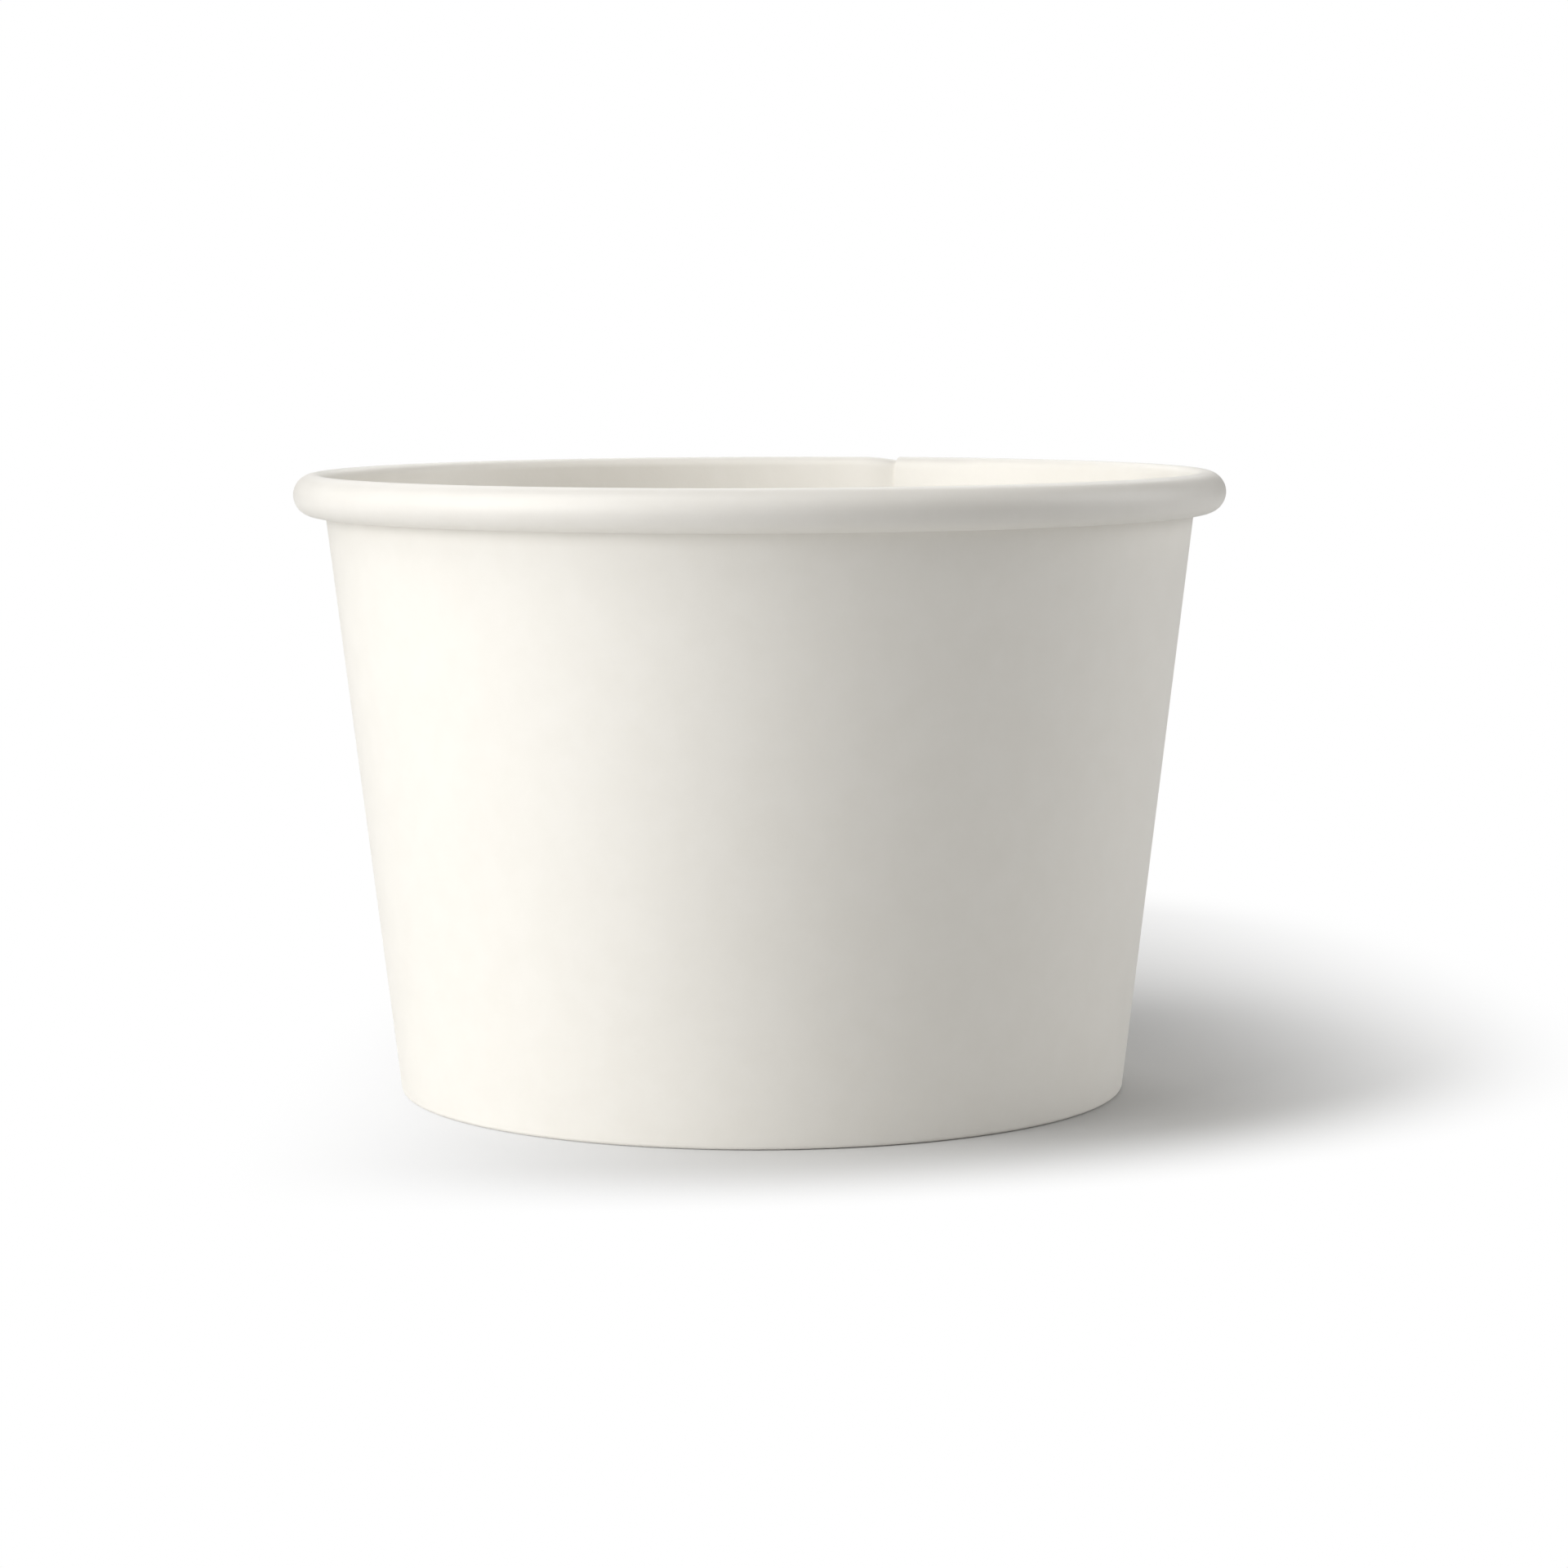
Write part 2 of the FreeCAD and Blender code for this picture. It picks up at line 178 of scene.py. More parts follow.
def wall_profile(depth, lap):
    """One face of the board, depth below its food face, where lap is 0 for plain wall and 1 in the seam.

    Both are columns with one row for each azimuth. The face runs hem, fold, foot, fold, wall, crest, roll,
    curl, tuck: arcs about fixed centres with radius r + depth in the fold and r - depth in the roll, joined
    by straight lines that touch them.
    """
    fold_level = FOLD_LEVEL + SECOND_BOARD * lap
    fold = FOLD_RADIUS + depth
    hem_centre = wall_radius(fold_level, HEM_FACE - FOLD_RADIUS)
    wall_centre = wall_radius(fold_level, WALL_BOARD + FOLD_RADIUS)
    hem_bend = bend(hem_centre, fold_level, fold, INWARD, BELOW, FOLD_POINTS)
    wall_bend = bend(wall_centre, fold_level, fold, DOWN, OUTWARD, FOLD_POINTS)

    roll_centre = ROLL_CENTRE + SECOND_BOARD / LEAN_COS * lap
    crest_radius = (roll_centre - MOUTH_RADIUS) * LEAN_COS / (1 - LEAN_SIN)
    crest = bend(roll_centre, CUP_HEIGHT - crest_radius, crest_radius - depth, INWARD, UP, CREST_POINTS)
    roll = bend(roll_centre, ROLL_LEVEL, ROLL_RADIUS - depth, UP, DOWN, ROLL_POINTS)
    curl_level = CUP_HEIGHT - ROLL_HEIGHT + CURL_RADIUS
    curl = bend(roll_centre, curl_level, CURL_RADIUS - depth, BELOW, INWARD, CURL_POINTS)

    along = np.array([LEAN_SIN, LEAN_COS])
    hem_end = hem_bend[:, 0]
    hem_rise = (HEM_LEVEL + depth * LEAN_SIN - hem_end[:, 1:]) / LEAN_COS
    hem_top = hem_end + hem_rise * along
    tuck_end = curl[:, -1] + TUCK_LENGTH * along
    return np.concatenate([
        hem_top[:, None], straight(hem_top, hem_end, HEM_POINTS), hem_bend,
        wall_bend, straight(wall_bend[:, -1], crest[:, 0], WALL_POINTS), crest,
        roll[:, 1:], curl[:, 1:], straight(curl[:, -1], tuck_end, TUCK_POINTS), tuck_end[:, None],
    ], axis=1)


plain = wall_profile(np.zeros((1, 1)), np.zeros((1, 1)))
print(f"profile of {plain.shape[1]} points, radius {plain[..., 0].min():.2f} to {plain[..., 0].max():.2f} mm")

# %% [markdown]
# ## Once round the cup
#
# The blank starts at the seam's cut edge inside the cup, goes right round, climbs over its own start and
# ends on the outside. So the azimuth runs through more than a full turn, and two numbers follow it: the
# depth of the layer, 0 or one board, and how far the roll is pushed out, 0 to 1.
#
# A stiff board doesn't climb evenly. It leaves the wall's line slowly, steepens, and levels only where it
# lies on the cut edge, so that inside the rim the seam shows as one crisp line. A soft step there would
# show as a grey band. Points are closer together where the board climbs or comes back in.

# %% Azimuths, layer depth and lap along the blank
TURN = 360
SEAM_STEPS = {"lap": 22, "runout": 10, "plain": 558, "ramp": 28}


def spread(width):
    """Angle in degrees that a width takes up, measured round the neck."""
    return math.degrees(width / NECK_RADIUS)


lap_end = SEAM_AZIMUTH - spread(LAP_WIDTH)
runout_end = lap_end - spread(RUNOUT_WIDTH)
ramp_start = SEAM_AZIMUTH + spread(RAMP_WIDTH) - TURN
ramp_end = SEAM_AZIMUTH - TURN
azimuth = np.concatenate([
    np.linspace(SEAM_AZIMUTH, lap_end, SEAM_STEPS["lap"], endpoint=False),
    np.linspace(lap_end, runout_end, SEAM_STEPS["runout"], endpoint=False),
    np.linspace(runout_end, ramp_start, SEAM_STEPS["plain"], endpoint=False),
    np.linspace(ramp_start, ramp_end, SEAM_STEPS["ramp"], endpoint=False),
    np.linspace(ramp_end, lap_end - TURN, SEAM_STEPS["lap"] + 1),
])
climb = late_step(-azimuth, -ramp_start, -ramp_end)
layer = SECOND_BOARD * climb
lap = climb + 1 - soft_step(-azimuth, -lap_end, -runout_end)
print(f"{azimuth.size} azimuths over {azimuth[0] - azimuth[-1]:.1f} degrees, lap from {lap_end:.1f} degrees")

# %% [markdown]
# ## Marks of the tools
#
# A toothed wheel presses the hem against the skirt while the film between them is hot, and leaves a row of
# upright dents on the inside of the foot. They are real dents, so they go into the mesh: the visible face of
# the hem is pushed in by a cosine that repeats round the cup and fades out at the fold and at the cut edge.

# %% Knurl dents on the hem
KNURLS = 120
KNURL_DEPTH = 0.07
KNURL_BAND = ((1.4, 2.0), (4.9, 5.5))


def knurl_dent(turn, level):
    """Depth of the dents: half of 1 + cos(number of dents times azimuth), faded out above and below."""
    wave = (1 + np.cos(KNURLS * np.radians(turn))) / 2
    (rise, full), (fade, gone) = KNURL_BAND
    return KNURL_DEPTH * wave * soft_step(level, rise, full) * (1 - soft_step(level, fade, gone))


print(f"{KNURLS} dents, {KNURL_DEPTH} mm deep")

# %% [markdown]
# ## From grids to a closed sheet
#
# The two faces and the four cut edges are one closed skin. Going round the strip's outline, food face one
# way and outer face back, gives a ring for each azimuth. Neighbouring rings are joined by quads, and the two
# ends of the blank are closed by quads between the two faces. Cut edges get their own material and sharp
# borders. A mesh can carry numbers on its points, called attributes, that a material can read: one says how
# deep in the board each point is, for the plies on the cut edge, and one where the roll gets painted shade.

# %% Build the mesh of a sheet
COATED, CUT = 0, 1
SHARP_ANGLE = math.radians(40)


def ring_quads(rings, points):
    """Corners of the quads between neighbouring closed rings: points i and i + 1 of rings j and j + 1."""
    index = np.arange(rings * points).reshape(rings, points)
    following = np.roll(index, -1, axis=1)
    return np.stack([index[:-1], index[1:], following[1:], following[:-1]], axis=-1).reshape(-1, 4)


def end_quads(points):
    """Corners of the quads that close the end of a strip, each from one face's points to the other's."""
    near = np.arange(points // 2)
    far = points - 1 - near
    return np.stack([near[:-1], near[1:], far[1:], far[:-1]], axis=-1)


def turned(profile, turn):
    """Points in space: (radius cos(azimuth), radius sin(azimuth), height), with one row for each azimuth."""
    angle = np.radians(turn)[:, None]
    radius, level = profile[..., 0], profile[..., 1]
    return np.stack([radius * np.cos(angle), radius * np.sin(angle), level], axis=-1)


def make_piece(name, points, faces, slots, marks, materials):
    """A mesh object at the origin: its points in metres, its faces' slots and its points' marks by name."""
    mesh = bpy.data.meshes.new(name)
    mesh.from_pydata(points * MM, [], faces)
    mesh.polygons.foreach_set("material_index", slots)
    for mark, values in marks.items():
        mesh.attributes.new(mark, "FLOAT", "POINT").data.foreach_set("value", values.astype(np.float32))
    mesh.shade_smooth()
    mesh.set_sharp_from_angle(angle=SHARP_ANGLE)
    for material in materials:
        mesh.materials.append(material)
    piece = bpy.data.objects.new(name, mesh)
    bpy.context.scene.collection.objects.link(piece)
    print(f"{name}: {len(mesh.vertices)} points, {len(mesh.polygons)} faces")
    return piece


print("quads between two rings of three points:", ring_quads(2, 3).tolist())

# %% [markdown]
# ## Helpers for materials
#
# A material is a small network of nodes, and making one by script takes the same few steps each time: add a
# node, set its values, and join its sockets. Both boards also turn a noise into a mix of two tones.

# %% Helpers for shader nodes
def add_node(tree, kind, settings=None, **values):
    """A shader node with its settings and its input sockets' values; a socket's name has _ for a space."""
    made = tree.nodes.new(kind)
    for name, value in (settings or {}).items():
        setattr(made, name, value)
    for name, value in values.items():
        made.inputs[name.replace("_", " ")].default_value = value
    return made


def wire(tree, *pairs):
    """Join an output socket to an input socket, for each pair."""
    for output, socket in pairs:
        tree.links.new(output, socket)


def two_tones(tree, dark, light, band):
    """A ramp from the dark colour to the light one, as its factor goes through the band."""
    tones = add_node(tree, "ShaderNodeValToRGB")
    for stop, place, colour in zip(tones.color_ramp.elements, band, (dark, light)):
        stop.position = place
        stop.color = (*colour, 1)
    return tones


def new_material(name, **finish):
    """A node material with a Principled shader of the given finish, and its object coordinates."""
    material = bpy.data.materials.new(name)
    material.use_nodes = True
    tree = material.node_tree
    tree.nodes.clear()
    output = add_node(tree, "ShaderNodeOutputMaterial")
    shader = add_node(tree, "ShaderNodeBsdfPrincipled", **finish)
    place = add_node(tree, "ShaderNodeTexCoord")
    wire(tree, (shader.outputs["BSDF"], output.inputs["Surface"]))
    return material, tree, shader, place.outputs["Object"]


# %% [markdown]
# ## Coated paperboard
#
# Cup board is bleached paper with a thin film of plastic on it. The film gives a soft satin sheen, and the
# paper under it is a little warm and never quite even: clumps of fibre make cloudy patches a few millimetres
# across, and single fibres lift the film by about a hundredth of a millimetre. A noise texture at two sizes
# does both. It reads object coordinates, so that it stays on the board in any view. On the roll's upper
# outside a mark multiplies the colour by a light grey: painted shade, which keeps the roll darker than the
# wall.

# %% Coated board
CLOUDS = {"Scale": 300.0, "Detail": 3.0, "Roughness": 0.55}
CLOUD_BAND = (0.35, 0.65)
GLOSS_BAND = {"From_Min": 0.3, "From_Max": 0.7, "To_Min": 0.42, "To_Max": 0.52}
FIBRES = {"Scale": 2600.0, "Detail": 2.0, "Roughness": 0.6}
FIBRE_RISE = {"Strength": 0.6, "Distance": 0.000012}
SATIN = {"Specular_IOR_Level": 0.4, "Coat_Weight": 0.12, "Coat_Roughness": 0.35}
# Light grey multiplied into the roll's upper outside: painted shade, darker than the wall's board.
PAINTED_ROLL_SHADE = (0.925, 0.925, 0.932, 1)
LIGHT_BOARD, DARK_BOARD = (0.903, 0.880, 0.832), (0.890, 0.866, 0.815)


def coated_board(name):
    """Satin white board: two close tones and glosses by a cloudy noise, and a bump by a finer one."""
    material, tree, shader, place = new_material(name, **SATIN)
    cloud = add_node(tree, "ShaderNodeTexNoise", **CLOUDS)
    fibre = add_node(tree, "ShaderNodeTexNoise", **FIBRES)
    tint = two_tones(tree, DARK_BOARD, LIGHT_BOARD, CLOUD_BAND)
    gloss = add_node(tree, "ShaderNodeMapRange", **GLOSS_BAND)
    rise = add_node(tree, "ShaderNodeBump", **FIBRE_RISE)
    # Painted shade: the roll's mark multiplies the board's colour by the light grey there.
    roll_shade_paint = add_node(tree, "ShaderNodeAttribute", {"attribute_name": "roll_shade_paint"})
    shade = add_node(tree, "ShaderNodeMix", {"data_type": "RGBA", "blend_type": "MULTIPLY"})
    shade_in = {socket.identifier: socket for socket in shade.inputs}
    shade_in["B_Color"].default_value = PAINTED_ROLL_SHADE
    shaded = next(socket for socket in shade.outputs if socket.identifier == "Result_Color")
    wire(tree, (place, cloud.inputs["Vector"]), (place, fibre.inputs["Vector"]),
         (cloud.outputs["Fac"], tint.inputs["Fac"]), (tint.outputs["Color"], shade_in["A_Color"]),
         (roll_shade_paint.outputs["Fac"], shade_in["Factor_Float"]), (shaded, shader.inputs["Base Color"]),
         (cloud.outputs["Fac"], gloss.inputs["Value"]), (gloss.outputs["Result"], shader.inputs["Roughness"]),
         (fibre.outputs["Fac"], rise.inputs["Height"]), (rise.outputs["Normal"], shader.inputs["Normal"]))
    return material


wall_coated = coated_board("coated_wall_board")
base_coated = coated_board("coated_base_board")
print("coated board:", wall_coated.name, base_coated.name)

# %% [markdown]
# ## The board's cut edge
#
# Where a blade has cut the board there is no film, so the edge is matt, a little darker and greyer, and it
# shows the board's plies as fine lines along the edge. The lines follow the depth in the board, which the
# mesh carries as an attribute: a noise that is squeezed across the thickness and stretched along the edge.

# %% Cut edge
PLIES = 7.0
PLY_RUN = 140.0
PLY_NOISE = {"Scale": 1.0, "Detail": 2.0, "Roughness": 0.6}
PLY_BAND = (0.35, 0.62)
RAW_PAPER = {"Roughness": 0.85, "Specular_IOR_Level": 0.25}
LIGHT_PLY, DARK_PLY = (0.80, 0.77, 0.71), (0.66, 0.63, 0.57)


def cut_board(name):
    """Matt raw board: a noise at (plies times depth, run times distance from the origin) picks the tone."""
    material, tree, shader, place = new_material(name, **RAW_PAPER)
    depth = add_node(tree, "ShaderNodeAttribute", {"attribute_name": "board_depth"})
    across = add_node(tree, "ShaderNodeMath", {"operation": "MULTIPLY"})
    across.inputs[1].default_value = PLIES
    along = add_node(tree, "ShaderNodeVectorMath", {"operation": "LENGTH"})
    run = add_node(tree, "ShaderNodeMath", {"operation": "MULTIPLY"})
    run.inputs[1].default_value = PLY_RUN
    spot = add_node(tree, "ShaderNodeCombineXYZ")
    plies = add_node(tree, "ShaderNodeTexNoise", **PLY_NOISE)
    tint = two_tones(tree, DARK_PLY, LIGHT_PLY, PLY_BAND)
    wire(tree, (depth.outputs["Fac"], across.inputs[0]), (place, along.inputs[0]),
         (along.outputs["Value"], run.inputs[0]), (across.outputs["Value"], spot.inputs["X"]),
         (run.outputs["Value"], spot.inputs["Y"]), (spot.outputs["Vector"], plies.inputs["Vector"]),
         (plies.outputs["Fac"], tint.inputs["Fac"]), (tint.outputs["Color"], shader.inputs["Base Color"]))
    return material


cut_edge = cut_board("cut_board_edge")
print("cut edge:", cut_edge.name)

# %% [markdown]
# ## The side wall
#
# One sheet makes wall, roll, hem and seam, as one blank does in the factory. The food face is drawn at the
# layer's own depth and the outer face one board deeper. The dents go only into the outer face, which is the
# one that shows on the hem.

# %% The side wall's points
food_face = wall_profile(layer[:, None], lap[:, None])
outer_face = wall_profile(layer[:, None] + WALL_BOARD, lap[:, None])
hem = slice(0, HEM_POINTS + 2)  # its top point, its straight run and the first point of its bend
outer_face[:, hem, 0] += knurl_dent(azimuth[:, None], outer_face[:, hem, 1])
strip = np.concatenate([food_face, outer_face[:, ::-1]], axis=1)
wall_points = turned(strip, azimuth).reshape(-1, 3)
print(f"{len(wall_points)} points, up to {strip[..., 0].max():.2f} mm from the axis")

# %% The side wall's faces
face_points, ring_points = food_face.shape[1], strip.shape[1]
sides = ring_quads(azimuth.size, ring_points)
first_end = end_quads(ring_points)
last_end = first_end[:, ::-1] + (azimuth.size - 1) * ring_points
wall_faces = np.concatenate([sides, first_end, last_end])
place_in_ring = np.tile(np.arange(ring_points), azimuth.size - 1)
on_cut = (place_in_ring == face_points - 1) | (place_in_ring == ring_points - 1)
wall_slots = np.concatenate([np.where(on_cut, CUT, COATED), np.full(2 * len(first_end), CUT)])
print(f"{len(wall_faces)} faces, {np.count_nonzero(wall_slots == CUT)} of them on cut edges")

# %% Make the side wall
def painted_shade_on_roll(radius, level):
    """Weight of the painted shade: 0 on the wall and under the roll, 1 on its upper outside; a soft step
    outwards times one upwards.
    """
    outwards = soft_step(radius, MOUTH_RADIUS, ROLL_CENTRE)
    return outwards * soft_step(level, ROLL_LEVEL - ROLL_RADIUS, ROLL_LEVEL)


# The second mark weights the painted shade on the roll's upper outside.
ring_depth = np.repeat([0.0, 1.0], face_points)
wall_marks = {"board_depth": np.tile(ring_depth, azimuth.size),
              "roll_shade_paint": painted_shade_on_roll(strip[..., 0], strip[..., 1]).ravel()}
side_wall = make_piece("side_wall_board", wall_points, wall_faces, wall_slots, wall_marks,
                       [wall_coated, cut_edge])
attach(side_wall, "root")
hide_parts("side_wall")

# %% [markdown]
# ## The base disc
#
# The base is pressed from a flat round blank: a die turns its edge down into a skirt, and the middle is left
# very slightly hollow on top, because the skirt pulls on it. It is a profile turned about the axis. The pole
# in the middle of each face is one point with triangles round it, so the skin is closed.

# %% Profile of the base disc
BASE_SAG = 0.18
DISC_POINTS, BEND_POINTS, SKIRT_POINTS = 24, 8, 5


def base_face(radius):
    """One face of the disc, from next to the axis to the skirt's edge, with its bend at a radius.

    The flat sinks by the sag times (1 - (distance from the axis / distance of the bend's centre)^2)^2. Then
    come an arc about that centre and a straight skirt along the wall's lean.
    """
    centre = wall_radius(BEND_LEVEL, SKIRT_FACE + BASE_BOARD + BASE_BEND_RADIUS)
    out = centre * np.linspace(0, 1, DISC_POINTS + 1)[1:-1]
    sag = BASE_SAG * (1 - (out / centre) ** 2) ** 2
    disc = np.stack([out, BEND_LEVEL + radius - sag], axis=-1)
    turn = bend(centre, BEND_LEVEL, radius, UP, OUTWARD, BEND_POINTS)
    top = turn[-1]
    drop = (top[1] - SKIRT_LEVEL) / LEAN_COS
    edge = top - drop * np.array([LEAN_SIN, LEAN_COS])
    share = np.linspace(0, 1, SKIRT_POINTS + 1)[1:, None]
    return np.concatenate([disc, turn, top * (1 - share) + edge * share])


upper_face = base_face(BASE_BEND_RADIUS + BASE_BOARD)
lower_face = base_face(BASE_BEND_RADIUS)
print(f"base disc reaches {upper_face[:, 0].max():.2f} mm from the axis")
print(f"its skirt ends {upper_face[-1, 1]:.2f} mm over the table")

# %% [markdown]
# Here each ring is one point of the profile carried right round the axis, so the helper that joined the
# side wall's rings joins these as well. A fan of triangles then closes each face at its pole.

# %% Points and faces of the base disc
BASE_STEPS = 480
outline = np.concatenate([upper_face, lower_face[::-1]])
outline_points = len(outline)
base_turn = np.linspace(0, TURN, BASE_STEPS, endpoint=False)
sweep = turned(np.broadcast_to(outline, (BASE_STEPS, outline_points, 2)), base_turn)
rings = sweep.swapaxes(0, 1).reshape(-1, 3)
poles = np.array([[0, 0, BASE_LEVEL - BASE_SAG], [0, 0, BASE_LEVEL - BASE_BOARD - BASE_SAG]])
upper_pole, lower_pole = len(rings), len(rings) + 1
base_points = np.concatenate([rings, poles])

skin = ring_quads(outline_points, BASE_STEPS)
first_ring = np.arange(BASE_STEPS)
last_ring = first_ring + (outline_points - 1) * BASE_STEPS
top_fan = np.stack([np.full(BASE_STEPS, upper_pole), first_ring, np.roll(first_ring, -1)], axis=-1)
bottom_fan = np.stack([np.full(BASE_STEPS, lower_pole), np.roll(last_ring, -1), last_ring], axis=-1)
base_faces = [*skin.tolist(), *top_fan.tolist(), *bottom_fan.tolist()]
print(f"{len(base_points)} points, {len(base_faces)} faces")

# %% Make the base disc
edge_row = np.arange(outline_points - 1) == len(upper_face) - 1
skin_slots = np.repeat(np.where(edge_row, CUT, COATED), BASE_STEPS)
base_slots = np.concatenate([skin_slots, np.full(2 * BASE_STEPS, COATED)])
outline_depth = np.repeat([0.0, 1.0], [len(upper_face), len(lower_face)])
base_marks = {"board_depth": np.concatenate([np.repeat(outline_depth, BASE_STEPS), [0.0, 1.0]])}
base_disc = make_piece("base_disc_board", base_points, base_faces, base_slots, base_marks,
                       [base_coated, cut_edge])
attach(base_disc, "root")
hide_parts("base_disc")

# %% [markdown]
# ## The floor
#
# The cup stands on plain pale paper. A studio picture of white goods keeps the shadow next to the cup and
# clears the rest to white. So the floor is a real one that takes the lamps' shadow, and to the camera it
# fades into pure white outside two ovals round the cup. To all other rays it is one plain tone, a little
# paler, which throws a soft light up on to the cup and gives off none of its own.

# %% The floor's plane
FLOOR_HALF = 4000.0
FLOOR_DROP = 0.02
corners = np.array([[-1, -1], [1, -1], [1, 1], [-1, 1]]) * FLOOR_HALF
floor_mesh = bpy.data.meshes.new("floor")
floor_mesh.from_pydata(np.column_stack([corners, np.full(4, -FLOOR_DROP)]) * MM, [], [(0, 1, 2, 3)])
floor = bpy.data.objects.new("floor", floor_mesh)
bpy.context.scene.collection.objects.link(floor)
print("floor at", -FLOOR_DROP, "mm")

# %% The floor's paint
FLOOR_GREY = 0.61
FLOOR_BOUNCE = 0.68
WHITE = (1, 1, 1, 1)
SIDE_FADE = {"centre": (23.2, -38.2), "reach": (75.7, 258.0), "start": 0.211, "end": 1.0}
FRONT_FADE = {"centre": (-17.7, 56.0), "reach": (98.0, 98.0), "start": 1.0, "end": 1.258}
floor_paint = bpy.data.materials.new("studio_floor")
floor_paint.use_nodes = True
tree = floor_paint.node_tree
tree.nodes.clear()
floor_out = add_node(tree, "ShaderNodeOutputMaterial")
floor_shader = add_node(tree, "ShaderNodeBsdfDiffuse")
floor_tone = add_node(tree, "ShaderNodeMapRange", To_Min=FLOOR_BOUNCE, To_Max=FLOOR_GREY)
glow = add_node(tree, "ShaderNodeEmission", Color=WHITE, Strength=1.0)
blend = add_node(tree, "ShaderNodeMixShader")
ray = add_node(tree, "ShaderNodeLightPath")
place = add_node(tree, "ShaderNodeTexCoord")


def kept_shadow(centre, reach, start, end):
    """1 up to a start and 0 from an end, by a soft step of the distance from a centre over the reach."""
    scale = 1 / (np.array([*reach, 1]) * MM)
    shift = add_node(tree, "ShaderNodeMapping", Scale=scale, Location=-np.array([*centre, 0]) * MM * scale)
    away = add_node(tree, "ShaderNodeVectorMath", {"operation": "LENGTH"})
    keep = add_node(tree, "ShaderNodeMapRange", {"interpolation_type": "SMOOTHSTEP"},
                    From_Min=start, From_Max=end, To_Min=1.0, To_Max=0.0)
    wire(tree, (place.outputs["Object"], shift.inputs["Vector"]), (shift.outputs["Vector"], away.inputs[0]),
         (away.outputs["Value"], keep.inputs["Value"]))
    return keep.outputs["Result"]


shadow = add_node(tree, "ShaderNodeMath", {"operation": "MULTIPLY"})
white = add_node(tree, "ShaderNodeMapRange", To_Min=1.0, To_Max=0.0)
seen = add_node(tree, "ShaderNodeMath", {"operation": "MULTIPLY"})
wire(tree, (kept_shadow(**SIDE_FADE), shadow.inputs[0]), (kept_shadow(**FRONT_FADE), shadow.inputs[1]),
     (shadow.outputs["Value"], white.inputs["Value"]), (white.outputs["Result"], seen.inputs[0]),
     (ray.outputs["Is Camera Ray"], seen.inputs[1]), (seen.outputs["Value"], blend.inputs["Fac"]),
     (ray.outputs["Is Camera Ray"], floor_tone.inputs["Value"]),
     (floor_tone.outputs["Result"], floor_shader.inputs["Color"]),
     (floor_shader.outputs["BSDF"], blend.inputs[1]), (glow.outputs["Emission"], blend.inputs[2]),
     (blend.outputs["Shader"], floor_out.inputs["Surface"]))
floor_mesh.materials.append(floor_paint)
print("floor paint:", floor_paint.name)

# %% [markdown]
# ## The room
#
# The background is the room itself. It is white to the camera and dim to every other ray, so that it doesn't
# burn out the cup. Nothing here is metal or glass, which would have to mirror a white room.

# %% Room
ROOM_LIGHT = 0.055
room = bpy.data.worlds.new("white_room")
bpy.context.scene.world = room
room.use_nodes = True
tree = room.node_tree
tree.nodes.clear()
room_out = add_node(tree, "ShaderNodeOutputWorld")
room_shader = add_node(tree, "ShaderNodeBackground", Color=WHITE)
ray = add_node(tree, "ShaderNodeLightPath")
tone = add_node(tree, "ShaderNodeMapRange", To_Min=ROOM_LIGHT, To_Max=1.0)
wire(tree, (ray.outputs["Is Camera Ray"], tone.inputs["Value"]),
     (tone.outputs["Result"], room_shader.inputs["Strength"]),
     (room_shader.outputs["Background"], room_out.inputs["Surface"]))
print("room light", ROOM_LIGHT)

# %% [markdown]
# ## The lamps
#
# White on white is drawn by the light alone. A low key lamp at the front left gives the bright side and the
# slow fall into grey, and a higher one beside it lights the rim's left and the inside of the far wall. A
# weak warm lamp high in front gives the inside its cream tone, a broad one at the right fills the shaded
# side, and one behind lights the rim's crest. Each is a large rectangle near the cup: the larger a lamp looks
# from the cup, the softer its shadow.

# %% Lamps
LAMP_AIM = Vector((0, 0, 0.03))
NEUTRAL, WARM = (1, 0.997, 0.985), (1, 0.97, 0.9)


def softbox(name, azimuth, elevation, distance, size, power, colour):
    """A rectangular lamp in metres, at an azimuth and elevation in degrees from the cup, facing it."""
    data = bpy.data.lights.new(name, "AREA")
    data.shape = "RECTANGLE"
    data.size, data.size_y = size
    data.energy = power
    data.color = colour
    lamp = bpy.data.objects.new(name, data)
    turn, rise = math.radians(azimuth), math.radians(elevation)
    direction = Vector((math.cos(turn) * math.cos(rise), math.sin(turn) * math.cos(rise), math.sin(rise)))
    lamp.location = LAMP_AIM + distance * direction
    lamp.rotation_euler = direction.to_track_quat("Z", "Y").to_euler()
    bpy.context.scene.collection.objects.link(lamp)
    print(f"{name}: {power} W, {size[0]} by {size[1]} m")


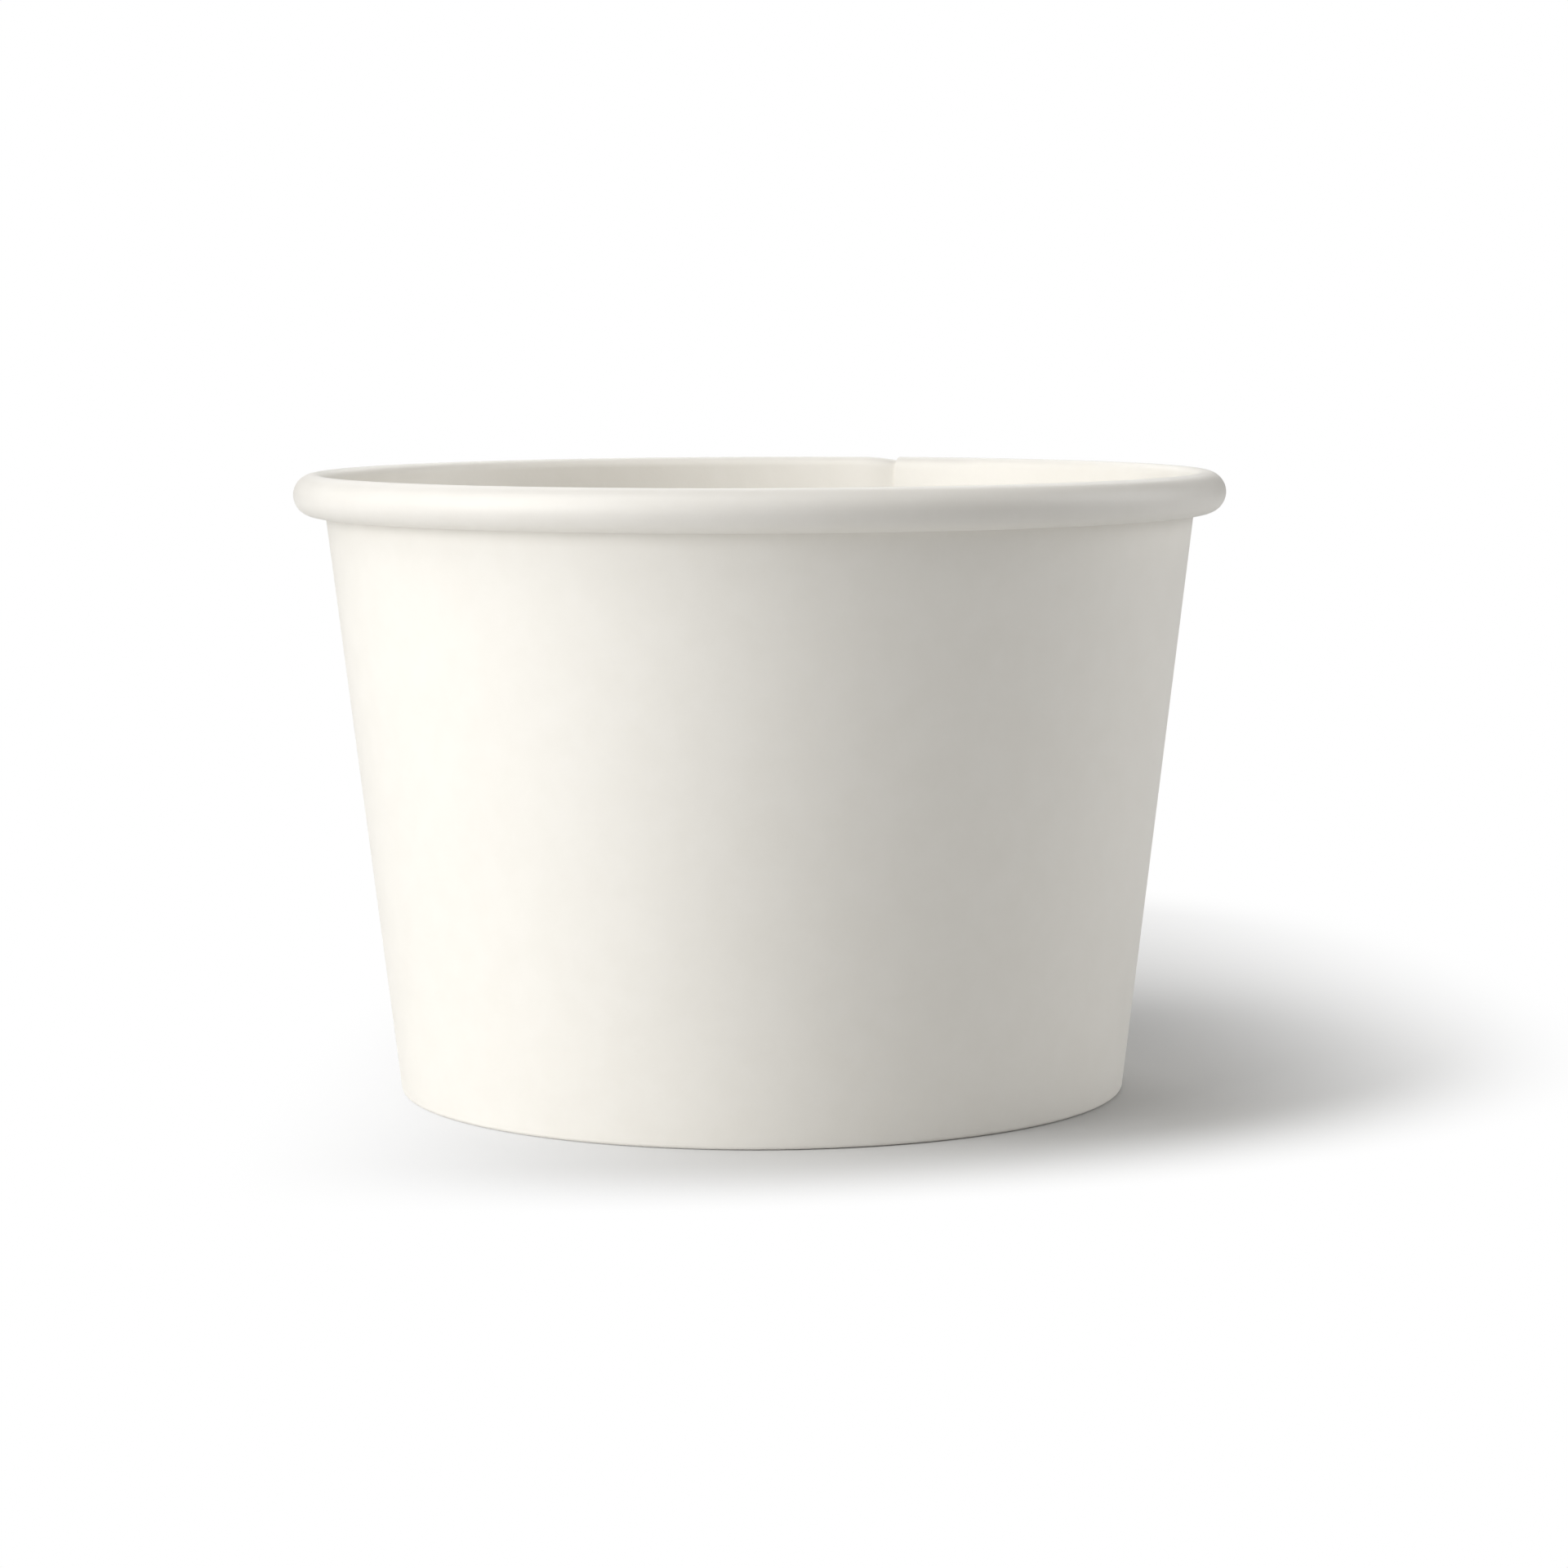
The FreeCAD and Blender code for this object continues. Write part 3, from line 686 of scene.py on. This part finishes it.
softbox("key_softbox", azimuth=-147, elevation=16, distance=1.0, size=(0.8, 0.7), power=7.6, colour=NEUTRAL)
softbox("high_softbox", azimuth=-160, elevation=55, distance=1.0, size=(0.6, 0.6), power=4.0, colour=NEUTRAL)
softbox("front_softbox", azimuth=-90, elevation=68, distance=1.0, size=(0.6, 0.6), power=1.3, colour=WARM)
softbox("right_softbox", azimuth=8, elevation=20, distance=1.2, size=(0.8, 0.8), power=6.2, colour=NEUTRAL)
softbox("back_softbox", azimuth=90, elevation=36, distance=1.0, size=(0.8, 0.6), power=2.9, colour=NEUTRAL)

# %% [markdown]
# ## The camera
#
# The camera stands where the photograph's stood: a little over the rim and half a metre in front, with a long
# lens, looking slightly down. That gives the rim its narrow ellipse and the foot its gentle curve. It was
# found by fitting the outlines of rim, wall and foot, so it also has a trace of yaw and roll.

# %% Camera
CAMERA_PLACE = Vector((0, -447.35, 79.04)) * MM
CAMERA_YAW, CAMERA_PITCH, CAMERA_ROLL = 0.0053, -0.1066, -0.0034
CAMERA_LENS, SENSOR_WIDTH = 100.2, 36.0
forward = Vector((math.sin(CAMERA_YAW) * math.cos(CAMERA_PITCH),
                  math.cos(CAMERA_YAW) * math.cos(CAMERA_PITCH),
                  math.sin(CAMERA_PITCH)))
level_right = Vector((math.cos(CAMERA_YAW), -math.sin(CAMERA_YAW), 0))
level_up = level_right.cross(forward)
right = level_right * math.cos(CAMERA_ROLL) + level_up * math.sin(CAMERA_ROLL)
up = level_up * math.cos(CAMERA_ROLL) - level_right * math.sin(CAMERA_ROLL)
camera_data = bpy.data.cameras.new("camera")
camera_data.lens = CAMERA_LENS
camera_data.sensor_width = SENSOR_WIDTH
camera = bpy.data.objects.new("camera", camera_data)
camera.matrix_world = Matrix.Translation(CAMERA_PLACE) @ Matrix((right, up, -forward)).transposed().to_4x4()
bpy.context.scene.collection.objects.link(camera)
bpy.context.scene.camera = camera
bpy.context.scene.view_settings.view_transform = "Standard"
print("camera at", [round(value, 4) for value in camera.location])
